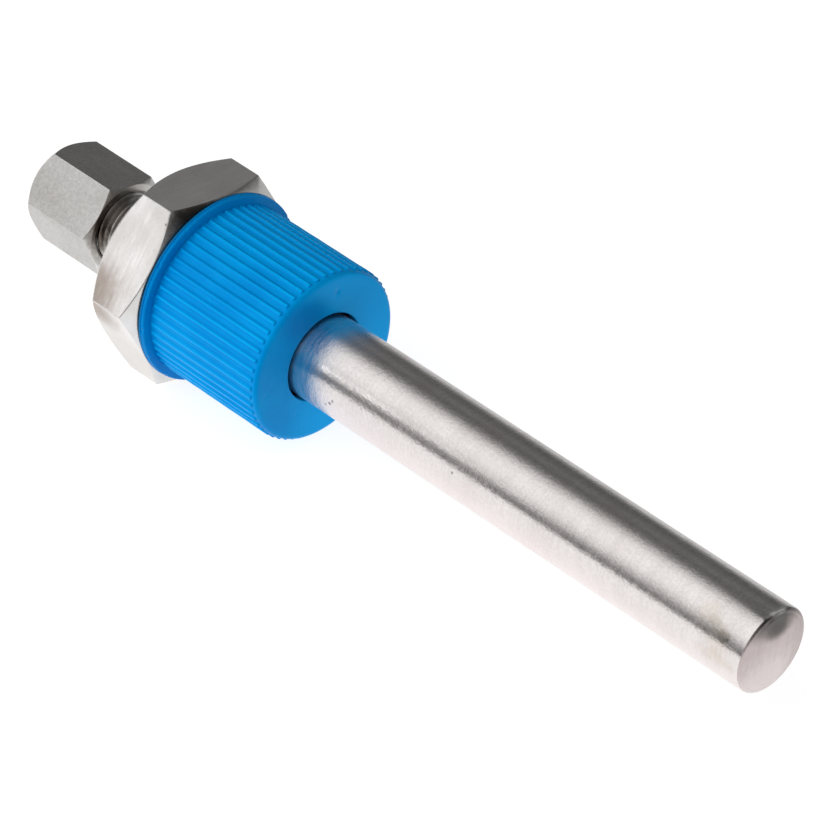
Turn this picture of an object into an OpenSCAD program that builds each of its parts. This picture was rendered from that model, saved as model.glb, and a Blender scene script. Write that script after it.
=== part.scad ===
// Screw-in thermowell with a compression nut for the probe and a push-on cap over its process thread.
//
// Every piece is turned about one long axis, which lies along X. The origin is the centre of the
// sealing face, at the front of the large hexagon: the closed tip is at +X, and the probe goes in
// from the nut's end at -X. The thermowell lies on a flat of its hexagon, with another facing up.
// All sizes are in millimetres.

/* [Stem] */
// Insertion length, from the sealing face to the end of the tip
insertion_length = 100; // [50:1:250]
// Outer diameter of the stem tube
stem_d = 12; // [10:0.1:14.6]
// Thickness of the plug in front of the tube's end, at its edge
tip_edge_t = 0.35; // [0.2:0.05:1]
// Radius of the rounded edge of the tip
tip_edge_r = 0.6; // [0.3:0.1:1.5]
// Radius of the tip's shallow crown
tip_crown_r = 48; // [30:1:80]
// Length of the plug's spigot inside the tube
tip_spigot_len = 3; // [2:0.5:8]

/* [Hexagon] */
// Width across the flats of the large hexagon
hex_af = 27; // [22.5:0.1:34]
// Length of the large hexagon
hex_len = 8.8; // [7:0.1:14]
// Step from a flat in to the edge of the sealing face
hex_face_step = 0.15; // [0.05:0.05:1]
// Slope of the front chamfer
hex_front_slope = 30; // [15:1:40]
// Step from a flat in to the edge of the back face
hex_back_step = 0.6; // [0.1:0.1:1.5]
// Slope of the back chamfer
hex_back_slope = 40; // [15:1:45]

/* [Process thread] */
// Outside diameter of the process thread
thread_d = 20.955; // [20:0.005:25.2]
// Length of the threaded boss, from the sealing face to its end
thread_len = 17.5; // [14:0.5:19]
// Depth of the relief groove next to the sealing face
relief_depth = 1.28; // [0.8:0.01:1.5]
// Width of the relief groove
relief_w = 2.5; // [1:0.1:4]
// Lead chamfer at the end of the boss
thread_lead = 1.3; // [0.5:0.1:2]
// Depth of the tube's socket behind the sealing face
socket_depth = 6; // [3:0.5:6.5]
// Leg of the weld fillet between the boss and the tube
weld_leg = 1.3; // [0.8:0.1:1.6]

/* [Probe nipple] */
// Outside diameter of the nipple's thread
nipple_d = 10; // [9.4:0.1:11.5]
// Length of the nipple behind the large hexagon
nipple_len = 16.4; // [13:0.1:24]
// Depth of the nipple's relief groove
nipple_relief_depth = 0.7; // [0.4:0.1:0.9]
// Width of the nipple's relief groove
nipple_relief_w = 2; // [1:0.1:3]
// Lead chamfer at the nipple's end
nipple_lead = 0.5; // [0.2:0.1:0.6]
// Diameter of the probe
probe_d = 6; // [4.5:0.1:6.4]
// Step from the probe out to the mouth of the nipple's inner cone
cone_mouth_step = 1; // [0.8:0.05:1.2]
// Half angle of the nipple's inner cone
cone_half_angle = 12; // [10:0.5:14]

/* [Compression nut] */
// Width across the flats of the nut
nut_af = 13; // [12:0.1:16]
// Length of the nut
nut_len = 13.3; // [10:0.1:18]
// Turn of the nut about the long axis, against the large hexagon
nut_turn = -4.8; // [-30:0.1:30]
// Step from a flat in to the edge of the nut's front face
nut_face_step = 0.05; // [0.05:0.05:0.4]
// Step from a flat in to the edge of the nut's back face
nut_back_step = 0.6; // [0.1:0.1:1.2]
// Chamfer at the mouth of the nut's thread
nut_mouth = 0.4; // [0.2:0.05:0.6]
// Thickness of the wall behind the nut's inner cone
nut_wall = 1.4; // [1:0.1:2.5]

/* [Cutting ring] */
// Length of the cutting ring
ring_len = 5.2; // [4.4:0.1:7]
// Length of the ring's nose inside the nipple's cone
ring_nose_len = 1.8; // [1:0.1:2.4]
// Step from the mouth of the nipple's cone out to the ring's shoulder
ring_shoulder_step = 0.45; // [0.2:0.05:0.6]
// Wall of the ring at its back face
ring_back_wall = 0.35; // [0.2:0.05:0.6]

/* [Thread cap] */
// Length of the cap
cap_len = 21; // [20.5:0.1:26]
// Thickness of the cap's wall under the ribs
cap_wall = 1.45; // [1:0.05:2.2]
// Height of the ribs
rib_height = 0.28; // [0.15:0.01:0.4]
// Width of a rib at its foot
rib_foot_w = 0.62; // [0.4:0.01:0.8]
// Width of a rib at its crest
rib_crest_w = 0.3; // [0.15:0.01:0.35]
// Number of ribs
rib_count = 56; // [24:1:72]
// Turn of the first rib about the long axis, from straight down
rib_turn = 2.4; // [0:0.1:6]
// Step from the rib crests out to the rim at the open end
rim_step = 1.1; // [0.3:0.1:1.5]
// Width of the rim
rim_w = 1; // [0.7:0.1:1.6]
// Radius of the rim's front edge
rim_edge_r = 0.6; // [0.2:0.05:0.65]
// Width of the groove between the rim and the ribs
cap_groove_w = 0.45; // [0.3:0.05:0.8]
// Length of the smooth shoulder in front of the ribs
cap_shoulder = 0.7; // [0.4:0.1:1]
// Edge radius of the smooth shoulder
cap_edge_r = 0.65; // [0.3:0.05:0.9]
// Thickness of the cap's end wall
cap_end_t = 1.6; // [1:0.1:2]
// Lead chamfer at the cap's open end
cap_lead = 0.6; // [0.3:0.1:0.8]

/* [Clearances] */
// Radial clearance of the probe in the nipple, the ring and the nut
probe_clearance = 0.1; // [0.05:0.01:0.2]
// Radial clearance of the probe in the stem tube
pocket_clearance = 0.5; // [0.2:0.1:0.8]
// Radial clearance of the tube in its socket and of the plug in the tube
weld_clearance = 0.04; // [0.02:0.01:0.1]
// Radial clearance between the nut and the nipple
nut_clearance = 0.08; // [0.02:0.01:0.1]
// Gap around the cutting ring
ring_gap = 0.1; // [0.05:0.01:0.2]
// Radial clearance between the cap and the thread
cap_clearance = 0.3; // [0.2:0.05:0.4]
// Radial clearance between the cap's end wall and the stem
cap_hole_clearance = 0.4; // [0.2:0.05:1]
// Gap between the cap's rim and the sealing face
cap_face_gap = 0.2; // [0.1:0.05:0.4]

/* [Hidden] */

// Turned faces are true curves, so this only sets how fine they look on screen
$fn = 96;
// Cutters run this far past the faces that they open
past = 1;

// Places along the axis
hex_back_x = -hex_len;
nipple_end_x = hex_back_x - nipple_len;
tube_start_x = -socket_depth;
// The crown's sagitta where it meets the rounded edge, and the seam between the tube and the plug
crown_edge_r = stem_d/2 - tip_edge_r;
crown_rise = tip_crown_r - sqrt(pow(tip_crown_r, 2) - pow(crown_edge_r, 2));
seam_x = insertion_length - crown_rise - tip_edge_r - tip_edge_t;
cap_back_x = cap_face_gap;
cap_front_x = cap_back_x + cap_len;
rib_start_x = cap_back_x + rim_w + cap_groove_w;
rib_end_x = cap_front_x - cap_shoulder;

// Radii
stem_bore_r = probe_d/2 + pocket_clearance;
probe_bore_r = probe_d/2 + probe_clearance;
thread_r = thread_d/2;
relief_r = thread_r - relief_depth;
nipple_r = nipple_d/2;
nipple_relief_r = nipple_r - nipple_relief_depth;
nut_bore_r = nipple_r + nut_clearance;
cap_bore_r = thread_r + cap_clearance;
cap_core_r = cap_bore_r + cap_wall;
crest_r = cap_core_r + rib_height;
rim_r = crest_r + rim_step;
cap_hole_r = stem_d/2 + cap_hole_clearance;

// The nipple's inner cone ends where it meets the probe's bore
cone_mouth_r = probe_d/2 + cone_mouth_step;
cone_len = (cone_mouth_r - probe_bore_r) / tan(cone_half_angle);
function cone_r(x) = cone_mouth_r - (x - nipple_end_x) * tan(cone_half_angle);

// The ring's nose seats in the nipple's cone
ring_front_x = nipple_end_x + ring_nose_len;
ring_back_x = ring_front_x - ring_len;
ring_r = cone_mouth_r + ring_shoulder_step;
ring_back_r = probe_bore_r + ring_back_wall;

// The nut's inner cone slopes at 45 degrees and bears on the ring's back edge, less the ring's gap
nut_cone_x = ring_back_x - ring_back_wall - ring_gap * sqrt(2);
nut_cone_end_x = nut_cone_x + nut_bore_r - probe_bore_r;
nut_back_x = nut_cone_x - nut_wall;
nut_front_x = nut_back_x + nut_len;

steel = "#b9b6b2";
bright_steel = "#cfcbc8";
weld_steel = "#9c958c";
cap_blue = "#0082d7";

// Lays what is modelled along +Z down onto the X axis
module laid() {
  rotate([0, 90, 0]) children();
}

// A turned solid from an outline of [radius, x] points
module turned(outline) {
  rotate_extrude() polygon(outline);
}

// A bore from x0 to x1
module bore(d, x0, x1) {
  translate([0, 0, x0]) cylinder(d = d, h = x1 - x0);
}

// A hexagonal bar from x0 to x1, chamfered at both ends by turned cones.
// With no turn, one flat faces straight down once the bar is laid down.
module hex_bar(af, x0, x1, back_step, back_slope, front_step, front_slope, turn = 0) {
  corner_r = af / sqrt(3);
  back_r = af/2 - back_step;
  front_r = af/2 - front_step;
  back_drop = (corner_r + past - back_r) * tan(back_slope);
  front_drop = (corner_r + past - front_r) * tan(front_slope);
  intersection() {
    translate([0, 0, x0]) rotate([0, 0, turn + 30]) cylinder(r = corner_r, h = x1 - x0, $fn = 6);
    turned([[0, x0], [back_r, x0], [corner_r + past, x0 + back_drop],
            [corner_r + past, x1 - front_drop], [front_r, x1], [0, x1]]);
  }
}

// The turned body: hexagon, threaded boss with its relief, nipple with its inner cone
module process_body() {
  color(steel) laid() difference() {
    union() {
      hex_bar(hex_af, hex_back_x, 0, hex_back_step, hex_back_slope, hex_face_step, hex_front_slope);
      turned([[0, -past], [relief_r, -past], [relief_r, relief_w - relief_depth], [thread_r, relief_w],
              [thread_r, thread_len - thread_lead],
              [thread_r - thread_lead, thread_len], [0, thread_len]]);
      turned([[0, nipple_end_x], [nipple_r - nipple_lead, nipple_end_x],
              [nipple_r, nipple_end_x + nipple_lead],
              [nipple_r, hex_back_x - nipple_relief_w],
              [nipple_relief_r, hex_back_x - nipple_relief_w + nipple_relief_depth],
              [nipple_relief_r, hex_back_x + past], [0, hex_back_x + past]]);
    }
    bore(2 * probe_bore_r, nipple_end_x - past, tube_start_x + past);
    bore(stem_d + 2*weld_clearance, tube_start_x, thread_len + past);
    turned([[0, nipple_end_x - past], [cone_r(nipple_end_x - past), nipple_end_x - past],
            [probe_bore_r, nipple_end_x + cone_len], [0, nipple_end_x + cone_len]]);
  }
}

// The stem tube, from its socket in the body to the seam at the tip
module stem_tube() {
  color(bright_steel) laid() difference() {
    bore(stem_d, tube_start_x, seam_x);
    bore(2*stem_bore_r, tube_start_x - past, seam_x + past);
  }
}

// The plug that closes the tube: a spigot, a plain edge, a rounded edge and a shallow crown
module tip_plug() {
  crown_x = insertion_length - tip_crown_r;
  color(bright_steel) laid() union() {
    bore(2*(stem_bore_r - weld_clearance), seam_x - tip_spigot_len, seam_x + tip_edge_t);
    bore(stem_d, seam_x, seam_x + tip_edge_t);
    rotate_extrude() intersection() {
      translate([0, seam_x]) square([stem_d/2, insertion_length - seam_x]);
      translate([0, crown_x]) circle(r = tip_crown_r, $fn = 360);
      union() {
        translate([0, seam_x]) square([stem_d/2, tip_edge_t]);
        translate([0, seam_x]) square([crown_edge_r, insertion_length - seam_x]);
        translate([crown_edge_r, seam_x + tip_edge_t]) circle(r = tip_edge_r);
      }
    }
  }
}

// The hollow fillet of weld metal between the boss and the tube
module root_weld() {
  inner_r = stem_d/2 + weld_clearance/2;
  color(weld_steel) laid() rotate_extrude() difference() {
    translate([inner_r, thread_len]) square(weld_leg);
    translate([inner_r + weld_leg, thread_len + weld_leg]) circle(r = weld_leg * 0.92);
  }
}

// The cutting ring: a nose for the nipple's cone and a back that the nut's cone presses
module cutting_ring() {
  nose_r = cone_r(ring_front_x) - ring_gap;
  mouth_r = cone_r(nipple_end_x) - ring_gap;
  back_run = ring_r - ring_back_r;
  color(bright_steel) laid() difference() {
    turned([[0, ring_back_x], [ring_back_r, ring_back_x],
            [ring_r, ring_back_x + back_run], [ring_r, nipple_end_x - 3*ring_gap],
            [mouth_r, nipple_end_x - 3*ring_gap], [mouth_r, nipple_end_x],
            [nose_r, ring_front_x], [0, ring_front_x]]);
    bore(2 * probe_bore_r, ring_back_x - past, ring_front_x + past);
  }
}

// The compression nut: a chamfered hexagonal bar, bored for the nipple, the ring and the probe
module compression_nut() {
  color(steel) laid() difference() {
    hex_bar(nut_af, nut_back_x, nut_front_x, nut_back_step, 45, nut_face_step, 30, nut_turn);
    turned([[0, nut_cone_x], [probe_bore_r, nut_cone_x], [nut_bore_r, nut_cone_end_x],
            [nut_bore_r, nut_front_x - nut_mouth], [nut_bore_r + nut_mouth + past, nut_front_x + past],
            [0, nut_front_x + past]]);
    bore(2 * probe_bore_r, nut_back_x - past, nut_cone_x + past);
  }
}

// One rib's section, standing out from the core along +X
module rib_section() {
  root_r = cap_core_r - rib_height;
  polygon([[root_r, -rib_foot_w/2], [cap_core_r, -rib_foot_w/2], [crest_r, -rib_crest_w/2],
           [crest_r, rib_crest_w/2], [cap_core_r, rib_foot_w/2], [root_r, rib_foot_w/2]]);
}

// The section of a disc from x0 to x1, with its front edge rounded
module rounded_section(r, x0, x1, edge_r) {
  intersection() {
    translate([0, x0]) square([r, x1 - x0]);
    union() {
      translate([0, x0]) square([r, x1 - x0 - edge_r]);
      translate([0, x0]) square([r - edge_r, x1 - x0]);
      translate([r - edge_r, x1 - edge_r]) circle(r = edge_r);
    }
  }
}

// The cap's turned shell: rim, groove, core, rounded shoulder, end wall and bores
module cap_shell() {
  rotate_extrude() difference() {
    union() {
      rounded_section(cap_core_r, cap_back_x, cap_front_x, cap_edge_r);
      rounded_section(rim_r, cap_back_x, cap_back_x + rim_w, rim_edge_r);
    }
    translate([0, cap_back_x - past]) square([cap_bore_r, cap_len - cap_end_t + past]);
    translate([0, cap_back_x - past]) square([cap_hole_r, cap_len + 2*past]);
    polygon([[0, cap_back_x - past], [cap_bore_r + cap_lead + past, cap_back_x - past],
             [cap_bore_r, cap_back_x + cap_lead], [0, cap_back_x + cap_lead]]);
  }
}

// The push-on cap over the process thread, with gripping ribs all round
module thread_cap() {
  color(cap_blue) laid() union() {
    cap_shell();
    difference() {
      translate([0, 0, rib_start_x]) linear_extrude(rib_end_x - rib_start_x) union() {
        circle(r = cap_core_r);
        for (i = [0 : rib_count - 1]) rotate(rib_turn + i * 360/rib_count) rib_section();
      }
      bore(2*cap_core_r - 2*rib_height, rib_start_x - past, rib_end_x + past);
    }
  }
}

process_body();
stem_tube();
tip_plug();
root_weld();
cutting_ring();
compression_nut();
thread_cap();
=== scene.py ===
import logging
import math
from collections.abc import Sequence
from dataclasses import dataclass
from enum import Enum

import bmesh
import bpy
from bmesh.types import BMEdge, BMesh, BMVert
from bpy.types import ID, Material, Node, NodeSocket as Socket, NodeTree, Object
from mathutils import Matrix, Vector, noise


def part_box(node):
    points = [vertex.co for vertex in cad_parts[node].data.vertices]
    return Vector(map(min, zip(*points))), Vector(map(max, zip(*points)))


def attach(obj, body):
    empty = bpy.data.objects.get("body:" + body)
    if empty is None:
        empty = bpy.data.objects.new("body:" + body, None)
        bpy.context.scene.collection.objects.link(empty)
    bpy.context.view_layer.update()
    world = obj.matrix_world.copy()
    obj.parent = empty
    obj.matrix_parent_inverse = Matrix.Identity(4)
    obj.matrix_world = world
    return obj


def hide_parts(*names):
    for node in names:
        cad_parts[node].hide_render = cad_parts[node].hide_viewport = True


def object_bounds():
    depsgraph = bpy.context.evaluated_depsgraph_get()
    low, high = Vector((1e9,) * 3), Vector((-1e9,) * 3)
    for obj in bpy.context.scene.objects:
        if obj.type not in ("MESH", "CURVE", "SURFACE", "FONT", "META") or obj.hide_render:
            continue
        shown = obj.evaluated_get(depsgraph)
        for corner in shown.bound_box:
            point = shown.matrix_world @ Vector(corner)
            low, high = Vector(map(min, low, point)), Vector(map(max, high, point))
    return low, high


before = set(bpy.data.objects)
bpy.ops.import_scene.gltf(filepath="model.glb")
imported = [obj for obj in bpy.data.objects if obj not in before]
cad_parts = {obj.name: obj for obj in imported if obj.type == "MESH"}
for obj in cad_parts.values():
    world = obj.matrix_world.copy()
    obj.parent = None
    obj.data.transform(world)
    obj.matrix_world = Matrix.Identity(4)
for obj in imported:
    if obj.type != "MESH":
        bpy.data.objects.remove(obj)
CAD_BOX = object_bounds()

log = logging.getLogger("thermowell")

# Sizes are written in millimetres, and a finished mesh is scaled to metres
MM = 0.001
TURN = 2 * math.pi
QUARTER = TURN / 4
# Points nearer than MERGE become one, and what lies within ON_PLANE of a cut lies on it
MERGE = 2e-4
ON_PLANE = 1e-5
# A rounding takes no more than this share of the edges beside it
ROUNDED_SHARE = 0.48
# Material places on a piece that has flats as well as turned faces
TURNED, FLAT = 0, 1

Pair = tuple[float, float]
Triple = tuple[float, float, float]
Outline = list[Pair]
Stops = tuple[Pair, ...]


# --- Workshop: what every piece is turned, cut and finished with ---


def box_mm(node: str) -> tuple[Vector, Vector]:
    """Gives a CAD node's lowest and highest corner, in millimetres."""
    low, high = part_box(node)
    return low / MM, high / MM


def softened(corners: Sequence[Triple], steps: int = 4, closed: bool = False) -> Outline:
    """Rounds the corners of an outline.

    Args:
        corners: Points (x, r, radius). A radius of 0 leaves the corner sharp.
        steps: Number of short edges in each rounding.
        closed: Whether the last corner joins the first.

    Returns:
        The outline as (x, r) points.
    """
    points: Outline = []
    count = len(corners)
    for index, (x, r, radius) in enumerate(corners):
        if radius <= 0 or (not closed and index in (0, count - 1)):
            points.append((x, r))
            continue
        here = Vector((x, r))
        back = Vector(corners[index - 1][:2]) - here
        ahead = Vector(corners[(index + 1) % count][:2]) - here
        half = back.angle(ahead) / 2
        reach = min(radius / math.tan(half), ROUNDED_SHARE * min(back.length, ahead.length))
        true_radius = reach * math.tan(half)
        inward = (back.normalized() + ahead.normalized()).normalized()
        centre = here + inward * (true_radius / math.sin(half))
        start = here + back.normalized() * reach - centre
        end = here + ahead.normalized() * reach - centre
        for step in range(steps + 1):
            spoke = start.lerp(end, step / steps).normalized() * true_radius
            points.append(tuple(centre + spoke))
    return points


def arc(x: float, r: float, radius: float, first: float, last: float, steps: int) -> Outline:
    """Gives points on an arc round (x, r), between two angles from straight out towards +X."""
    angles = [first + (last - first) * k / steps for k in range(steps + 1)]
    return [(x + radius * math.sin(angle), r + radius * math.cos(angle)) for angle in angles]


def spin_outline(bm: BMesh, outline: Outline, steps: int, closed: bool = False) -> None:
    """Turns an outline of (x, r) points once round the X axis.

    Args:
        bm: The mesh that takes the surface.
        outline: The points, from one end of the outline to the other.
        steps: Number of faces round the axis.
        closed: Whether the outline's ends are joined.
    """
    verts = [bm.verts.new((x, 0.0, r)) for x, r in outline]
    pairs = list(zip(verts, verts[1:]))
    if closed:
        pairs.append((verts[-1], verts[0]))
    edges = [bm.edges.new(pair) for pair in pairs]
    bmesh.ops.spin(
        bm, geom=verts + edges, cent=(0, 0, 0), axis=(1, 0, 0), dvec=(0, 0, 0),
        angle=TURN, steps=steps, use_merge=True,
    )


def rim_at(bm: BMesh, x: float, reach: float = 2e-3) -> list[BMEdge]:
    """Finds the edges of the open rim that lies in the plane at x, or within reach of it."""
    return [
        edge for edge in bm.edges
        if edge.is_boundary and all(abs(vert.co.x - x) < reach for vert in edge.verts)
    ]


def dent(bm: BMesh, centre: Vector, reach: float, push: Vector) -> None:
    """Moves the skin near a point, full in the middle and fading to nothing.

    Args:
        bm: The mesh.
        centre: The middle of the mark.
        reach: How far from the middle the skin still moves.
        push: The move in the middle.
    """
    for vert in bm.verts:
        share = 1 - (vert.co - centre).length / reach
        if share > 0:
            vert.co += push * (share * share * (3 - 2 * share))


def on_round(x: float, r: float, degrees: float) -> Vector:
    """Gives the point at x and r, turned by degrees from straight up towards -Y."""
    angle = math.radians(degrees)
    return Vector((x, -r * math.sin(angle), r * math.cos(angle)))


def outward(point: Vector) -> Vector:
    """Gives the direction from the axis to a point."""
    return Vector((0.0, point.y, point.z)).normalized()


def off_axis(vert: BMVert) -> float:
    """Gives a vertex's distance from the axis."""
    return math.hypot(vert.co.y, vert.co.z)


def pinch(vert: BMVert, factor: float) -> None:
    """Multiplies a vertex's distance from the axis."""
    vert.co.y *= factor
    vert.co.z *= factor


def new_object(name: str, data: ID) -> Object:
    """Makes an object and puts it into the scene.

    Args:
        name: Its name.
        data: Its mesh, camera or light.

    Returns:
        The object.
    """
    made = bpy.data.objects.new(name, data)
    bpy.context.scene.collection.objects.link(made)
    return made


def mesh_object(bm: BMesh, name: str) -> Object:
    """Makes an object of a mesh.

    Args:
        bm: The mesh. It is freed.
        name: The object's name.

    Returns:
        The object.
    """
    mesh = bpy.data.meshes.new(name)
    bm.to_mesh(mesh)
    bm.free()
    return new_object(name, mesh)


def finish_mesh(bm: BMesh, name: str, crease: float = 32.0) -> Object:
    """Closes, orients and scales a mesh, and makes its object.

    Args:
        bm: The mesh, in millimetres. It is freed.
        name: The piece's name.
        crease: Edges that turn by more degrees than this stay sharp.

    Returns:
        The new object, at the origin.
    """
    bmesh.ops.remove_doubles(bm, verts=bm.verts, dist=MERGE)
    bmesh.ops.recalc_face_normals(bm, faces=bm.faces)
    bmesh.ops.scale(bm, vec=(MM, MM, MM), verts=bm.verts)
    for face in bm.faces:
        face.smooth = face.material_index == TURNED
    for edge in bm.edges:
        edge.smooth = not edge.is_manifold or edge.calc_face_angle(0.0) < math.radians(crease)
    open_edges = sum(1 for edge in bm.edges if not edge.is_manifold)
    triangles = sum(len(face.verts) - 2 for face in bm.faces)
    log.info("%s: %d triangles, %d open edges", name, triangles, open_edges)
    return mesh_object(bm, name)


@dataclass(frozen=True)
class ScrewThread:
    """An outside thread between two cones that fade it out.

    A cone is (x, r, slope): the thread's crest stays below r + slope * (x' - x) at any x'.

    A tooth is (share of the pitch, share of the depth). The cones always leave the share least
    of crest_r.
    """

    start_x: float
    end_x: float
    crest_r: float
    pitch: float
    depth: float
    start_cone: Triple
    end_cone: Triple
    columns: int = 128
    tooth: Stops = ((0.0, 0.0), (0.1, 0.0), (0.17, 0.16), (0.42, 0.9), (0.47, 1.0),
                    (0.53, 1.0), (0.58, 0.9), (0.83, 0.16), (0.9, 0.0))
    least: float = 0.5

    def crest_limit(self, x: float) -> float:
        """Gives the largest radius that the two cones leave at x."""
        limits = [r + slope * (x - at) for at, r, slope in (self.start_cone, self.end_cone)]
        return max(min([self.crest_r] + limits), self.least * self.crest_r)

    def cut(self, bm: BMesh) -> None:
        """Adds the thread's skin to a mesh, with an open round rim at each end.

        The thread starts and ends a turn and a half too far out, and is cut off at its ends.

        Args:
            bm: The mesh.
        """
        turns = math.ceil((self.end_x - self.start_x) / self.pitch) + 3
        first_x = self.start_x - 1.5 * self.pitch
        part = bmesh.new()
        verts = [
            part.verts.new((first_x + self.pitch * (turn + along), 0.0,
                            self.crest_r - self.depth * deep))
            for turn in range(turns) for along, deep in self.tooth
        ]
        edges = [part.edges.new(pair) for pair in zip(verts, verts[1:])]
        bmesh.ops.spin(
            part, geom=verts + edges, cent=(0, 0, 0), axis=(1, 0, 0),
            dvec=(self.pitch / self.columns, 0, 0), angle=TURN, steps=self.columns,
        )
        bmesh.ops.remove_doubles(part, verts=part.verts, dist=10 * MERGE)
        for vert in part.verts:
            r = off_axis(vert)
            pinch(vert, min(r, self.crest_limit(vert.co.x)) / r)
        for x, side in ((self.start_x, -1), (self.end_x, 1)):
            bmesh.ops.bisect_plane(
                part, geom=part.verts[:] + part.edges[:] + part.faces[:], dist=ON_PLANE,
                plane_co=(x, 0, 0), plane_no=(side, 0, 0), clear_outer=True,
            )
        skin = bpy.data.meshes.new("skin")
        part.to_mesh(skin)
        part.free()
        bm.from_mesh(skin)
        bpy.data.meshes.remove(skin)


@dataclass(frozen=True)
class HexBar:
    """The hexagonal part of a turned piece: six flats that cut a chamfered blank.

    Slopes and the turn of the first flat are in degrees. The edges are bevelled to the width of
    edge, and the blank stands over the corners by spare.
    """

    low_x: float
    high_x: float
    corner_r: float
    back_r: float
    back_slope: float
    front_r: float
    front_slope: float
    turn: float = 0.0
    edge: float = 0.08
    spare: float = 0.05

    @property
    def half_flats(self) -> float:
        """Distance from the axis to a flat."""
        return self.corner_r * math.cos(math.radians(30))

    def blank(self) -> list[Triple]:
        """Gives the blank's corners, from its front face to its back face."""
        blank_r = self.corner_r + self.spare
        front = (blank_r - self.front_r) * math.tan(math.radians(self.front_slope))
        back = (blank_r - self.back_r) * math.tan(math.radians(self.back_slope))
        return [
            (self.high_x, self.front_r, 0.04), (self.high_x - front, blank_r, 0.0),
            (self.low_x + back, blank_r, 0.0), (self.low_x, self.back_r, 0.1),
        ]

    def cut_flats(self, bm: BMesh) -> None:
        """Cuts the six flats and takes the sharpness off their edges.

        Args:
            bm: The mesh that holds the blank.
        """
        slack, outer_r = 0.01, 0.9 * self.front_r
        for side in range(6):
            normal = on_round(0.0, 1.0, self.turn + 60 * side)
            zone = [
                face for face in bm.faces
                if all(self.low_x - slack < v.co.x < self.high_x + slack for v in face.verts)
                and max(off_axis(v) for v in face.verts) > outer_r
            ]
            around = {part for face in zone for part in (*face.verts, *face.edges)}
            cut = bmesh.ops.bisect_plane(
                bm, geom=list(around) + zone, dist=ON_PLANE, plane_co=normal * self.half_flats,
                plane_no=normal, clear_outer=True,
            )
            rim = [item for item in cut["geom_cut"] if isinstance(item, BMEdge)]
            bmesh.ops.edgeloop_fill(bm, edges=rim, mat_nr=FLAT)
        sharp = [e for e in bm.edges if any(f.material_index == FLAT for f in e.link_faces)]
        bmesh.ops.bevel(
            bm, geom=sharp, offset=self.edge, offset_type="OFFSET", segments=2, profile=0.5,
            affect="EDGES", material=TURNED, clamp_overlap=True,
        )


# --- Finishes ---


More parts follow.
